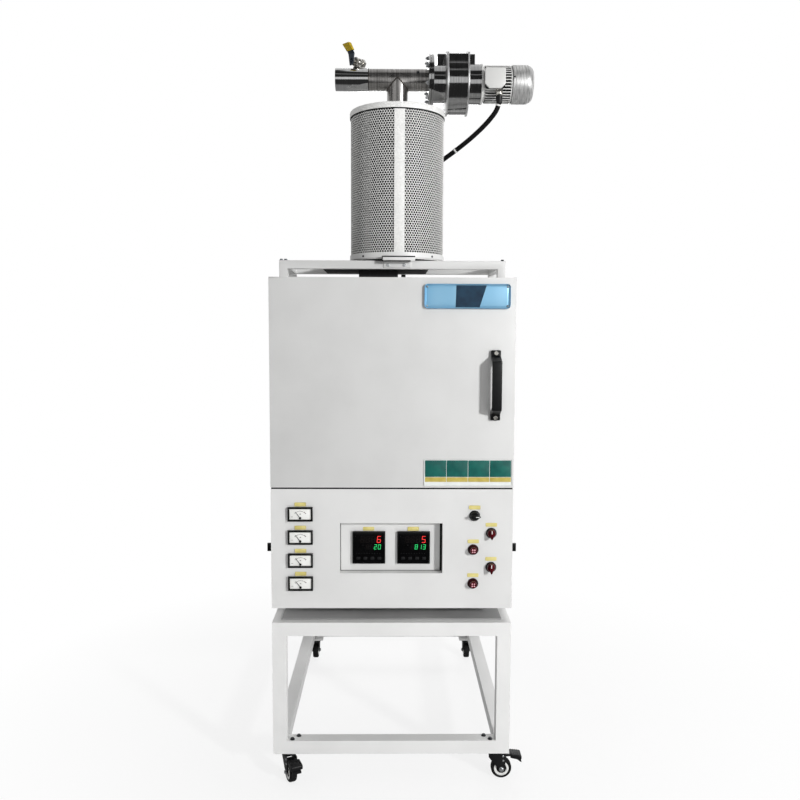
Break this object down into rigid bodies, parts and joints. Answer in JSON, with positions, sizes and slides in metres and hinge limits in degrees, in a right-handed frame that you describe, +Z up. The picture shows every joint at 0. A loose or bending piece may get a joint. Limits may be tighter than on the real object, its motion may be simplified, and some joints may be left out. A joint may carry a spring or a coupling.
{
  "type": "debinding furnace",
  "caption": "Box furnace with a hinged front door over a control panel, on a castered tube stand, with an afterburner tower, tail pipe and extraction blower on its roof.",
  "frame": {"origin": "on the floor below the middle of the whole part's box", "axes": "+Z up, +X to the right seen from the front, the door and the controls face -Y"},
  "size_m": [0.8048, 1.034, 2.229],
  "materials": {
    "case_paint": "textured light grey powder coat",
    "stand_paint": "off-white powder coat",
    "black_plastic": "moulded black plastic",
    "red_plastic": "moulded dark red plastic",
    "dial_plastic": "white dial in a black frame",
    "polished_steel": "mirror polished stainless steel",
    "satin_steel": "satin stainless steel",
    "guard_steel": "perforated galvanised sheet",
    "motor_paint": "smooth grey motor paint",
    "cast_aluminium": "cast aluminium",
    "fibre_board": "white ceramic fibre board",
    "dark_board": "dark insulating board",
    "element_ceramic": "silicon carbide and molybdenum disilicide",
    "rubber": "black rubber",
    "brass": "nickel-coloured brass"
  },
  "bodies": {
    "furnace": {"stand_frame": "stand_paint", "plinth": "case_paint", "lower_case": "case_paint", "upper_case": "case_paint", "rear_cover": "case_paint", "chamber_lining": "fibre_board", "hearth_plate": "element_ceramic", "heating_element_left": "element_ceramic", "heating_element_right": "element_ceramic", "thermocouple": "fibre_board", "flue_stack": "dark_board", "hinge_pin_upper": "satin_steel", "hinge_pin_lower": "satin_steel", "control_panel": "case_paint", "switch_rail": "black_plastic", "controller_left": "black_plastic", "controller_right": "black_plastic", "meter_case_1": "dial_plastic", "meter_case_2": "dial_plastic", "meter_case_3": "dial_plastic", "meter_case_4": "dial_plastic", "top_frame": "stand_paint", "guard_base": "guard_steel", "guard_shell": "guard_steel", "guard_cap": "guard_steel", "afterburner_core": "fibre_board", "tee_pipe": "polished_steel", "valve_body": "brass", "blower_housing": "polished_steel", "motor_body": "motor_paint", "fan_cover": "cast_aluminium", "motor_cable": "rubber"},
    "caster_front_left": {"caster_fork_front_left": "black_plastic"},
    "wheel_front_left": {"caster_wheel_front_left": "rubber"},
    "brake_front_left": {"brake_pedal_front_left": "black_plastic"},
    "caster_front_right": {"caster_fork_front_right": "black_plastic"},
    "wheel_front_right": {"caster_wheel_front_right": "rubber"},
    "brake_front_right": {"brake_pedal_front_right": "black_plastic"},
    "caster_rear_left": {"caster_fork_rear_left": "black_plastic"},
    "wheel_rear_left": {"caster_wheel_rear_left": "rubber"},
    "brake_rear_left": {"brake_pedal_rear_left": "black_plastic"},
    "caster_rear_right": {"caster_fork_rear_right": "black_plastic"},
    "wheel_rear_right": {"caster_wheel_rear_right": "rubber"},
    "brake_rear_right": {"brake_pedal_rear_right": "black_plastic"},
    "door": {"door_shell": "case_paint", "door_plug": "fibre_board", "door_handle": "black_plastic"},
    "pointer_1": {"meter_pointer_1": "black_plastic"},
    "pointer_2": {"meter_pointer_2": "black_plastic"},
    "pointer_3": {"meter_pointer_3": "black_plastic"},
    "pointer_4": {"meter_pointer_4": "black_plastic"},
    "power_knob": {"power_knob": "black_plastic"},
    "selector_knob_upper": {"selector_knob_upper": "red_plastic"},
    "selector_knob_lower": {"selector_knob_lower": "red_plastic"},
    "push_button_upper": {"push_button_upper": "red_plastic"},
    "push_button_lower": {"push_button_lower": "red_plastic"},
    "side_latch_left": {"side_latch_left": "black_plastic"},
    "side_latch_right": {"side_latch_right": "black_plastic"},
    "valve_lever": {"valve_lever": "brass"},
    "fan_rotor": {"fan_rotor": "cast_aluminium"}
  },
  "joints": [
    {"name": "swivel_front_left", "type": "hinge", "parent": "furnace", "child": "caster_front_left", "pos_m": [-0.34405, -0.435, 0.07981], "axis": [0, 0, 1], "continuous": true},
    {"name": "roll_front_left", "type": "hinge", "parent": "caster_front_left", "child": "wheel_front_left", "pos_m": [-0.33475, -0.45494, 0.0308], "axis": [0.9063, 0.4226, 0], "continuous": true},
    {"name": "brake_front_left", "type": "hinge", "parent": "caster_front_left", "child": "brake_front_left", "pos_m": [-0.33306, -0.45856, 0.0718], "axis": [0.9063, 0.4226, 0], "range_deg": [0, 12]},
    {"name": "swivel_front_right", "type": "hinge", "parent": "furnace", "child": "caster_front_right", "pos_m": [0.27595, -0.435, 0.07981], "axis": [0, 0, 1], "continuous": true},
    {"name": "roll_front_right", "type": "hinge", "parent": "caster_front_right", "child": "wheel_front_right", "pos_m": [0.29795, -0.435, 0.0308], "axis": [0, 1, 0], "continuous": true},
    {"name": "brake_front_right", "type": "hinge", "parent": "caster_front_right", "child": "brake_front_right", "pos_m": [0.30195, -0.435, 0.0718], "axis": [0, 1, 0], "range_deg": [0, 12]},
    {"name": "swivel_rear_left", "type": "hinge", "parent": "furnace", "child": "caster_rear_left", "pos_m": [-0.34405, 0.435, 0.07981], "axis": [0, 0, 1], "continuous": true},
    {"name": "roll_rear_left", "type": "hinge", "parent": "caster_rear_left", "child": "wheel_rear_left", "pos_m": [-0.34405, 0.457, 0.0308], "axis": [-1, 0, 0], "continuous": true},
    {"name": "brake_rear_left", "type": "hinge", "parent": "caster_rear_left", "child": "brake_rear_left", "pos_m": [-0.34405, 0.461, 0.0718], "axis": [-1, 0, 0], "range_deg": [0, 12]},
    {"name": "swivel_rear_right", "type": "hinge", "parent": "furnace", "child": "caster_rear_right", "pos_m": [0.27595, 0.435, 0.07981], "axis": [0, 0, 1], "continuous": true},
    {"name": "roll_rear_right", "type": "hinge", "parent": "caster_rear_right", "child": "wheel_rear_right", "pos_m": [0.27595, 0.457, 0.0308], "axis": [-1, 0, 0], "continuous": true},
    {"name": "brake_rear_right", "type": "hinge", "parent": "caster_rear_right", "child": "brake_rear_right", "pos_m": [0.27595, 0.461, 0.0718], "axis": [-1, 0, 0], "range_deg": [0, 12]},
    {"name": "door_hinge", "type": "hinge", "parent": "furnace", "child": "door", "pos_m": [-0.37205, -0.465, 1.18981], "axis": [0, 0, -1], "range_deg": [0, 110]},
    {"name": "pointer_1_swing", "type": "hinge", "parent": "furnace", "child": "pointer_1", "pos_m": [-0.29855, -0.482, 0.60181], "axis": [0, 1, 0], "range_deg": [0, 76], "stiffness_Nm_per_rad": 0.0005},
    {"name": "pointer_2_swing", "type": "hinge", "parent": "furnace", "child": "pointer_2", "pos_m": [-0.29855, -0.482, 0.67], "axis": [0, 1, 0], "range_deg": [0, 76], "stiffness_Nm_per_rad": 0.0005},
    {"name": "pointer_3_swing", "type": "hinge", "parent": "furnace", "child": "pointer_3", "pos_m": [-0.29855, -0.482, 0.73821], "axis": [0, 1, 0], "range_deg": [0, 76], "stiffness_Nm_per_rad": 0.0005},
    {"name": "pointer_4_swing", "type": "hinge", "parent": "furnace", "child": "pointer_4", "pos_m": [-0.29855, -0.482, 0.80641], "axis": [0, 1, 0], "range_deg": [0, 76], "stiffness_Nm_per_rad": 0.0005},
    {"name": "power_knob_turn", "type": "hinge", "parent": "furnace", "child": "power_knob", "pos_m": [0.20495, -0.483, 0.81241], "axis": [0, 1, 0], "range_deg": [0, 90]},
    {"name": "selector_knob_upper_turn", "type": "hinge", "parent": "furnace", "child": "selector_knob_upper", "pos_m": [0.25395, -0.483, 0.7614], "axis": [0, 1, 0], "range_deg": [-45, 45]},
    {"name": "selector_knob_lower_turn", "type": "hinge", "parent": "furnace", "child": "selector_knob_lower", "pos_m": [0.25395, -0.483, 0.6606], "axis": [0, 1, 0], "range_deg": [-45, 45]},
    {"name": "push_button_upper_travel", "type": "slide", "parent": "furnace", "child": "push_button_upper", "axis": [0, 1, 0], "range_m": [0, 0.0045], "stiffness_N_per_m": 250},
    {"name": "push_button_lower_travel", "type": "slide", "parent": "furnace", "child": "push_button_lower", "axis": [0, 1, 0], "range_m": [0, 0.0045], "stiffness_N_per_m": 250},
    {"name": "side_latch_left_turn", "type": "hinge", "parent": "furnace", "child": "side_latch_left", "pos_m": [-0.38905, -0.423, 0.70581], "axis": [1, 0, 0], "range_deg": [0, 90]},
    {"name": "side_latch_right_turn", "type": "hinge", "parent": "furnace", "child": "side_latch_right", "pos_m": [0.32095, -0.423, 0.70581], "axis": [1, 0, 0], "range_deg": [0, 90]},
    {"name": "valve_turn", "type": "hinge", "parent": "furnace", "child": "valve_lever", "pos_m": [-0.15936, -0.17631, 2.18201], "axis": [0.7071, 0.7071, 0], "range_deg": [0, 90]},
    {"name": "fan_spin", "type": "hinge", "parent": "furnace", "child": "fan_rotor", "pos_m": [0.20595, -0.165, 2.11591], "axis": [1, 0, 0], "continuous": true}
  ]
}
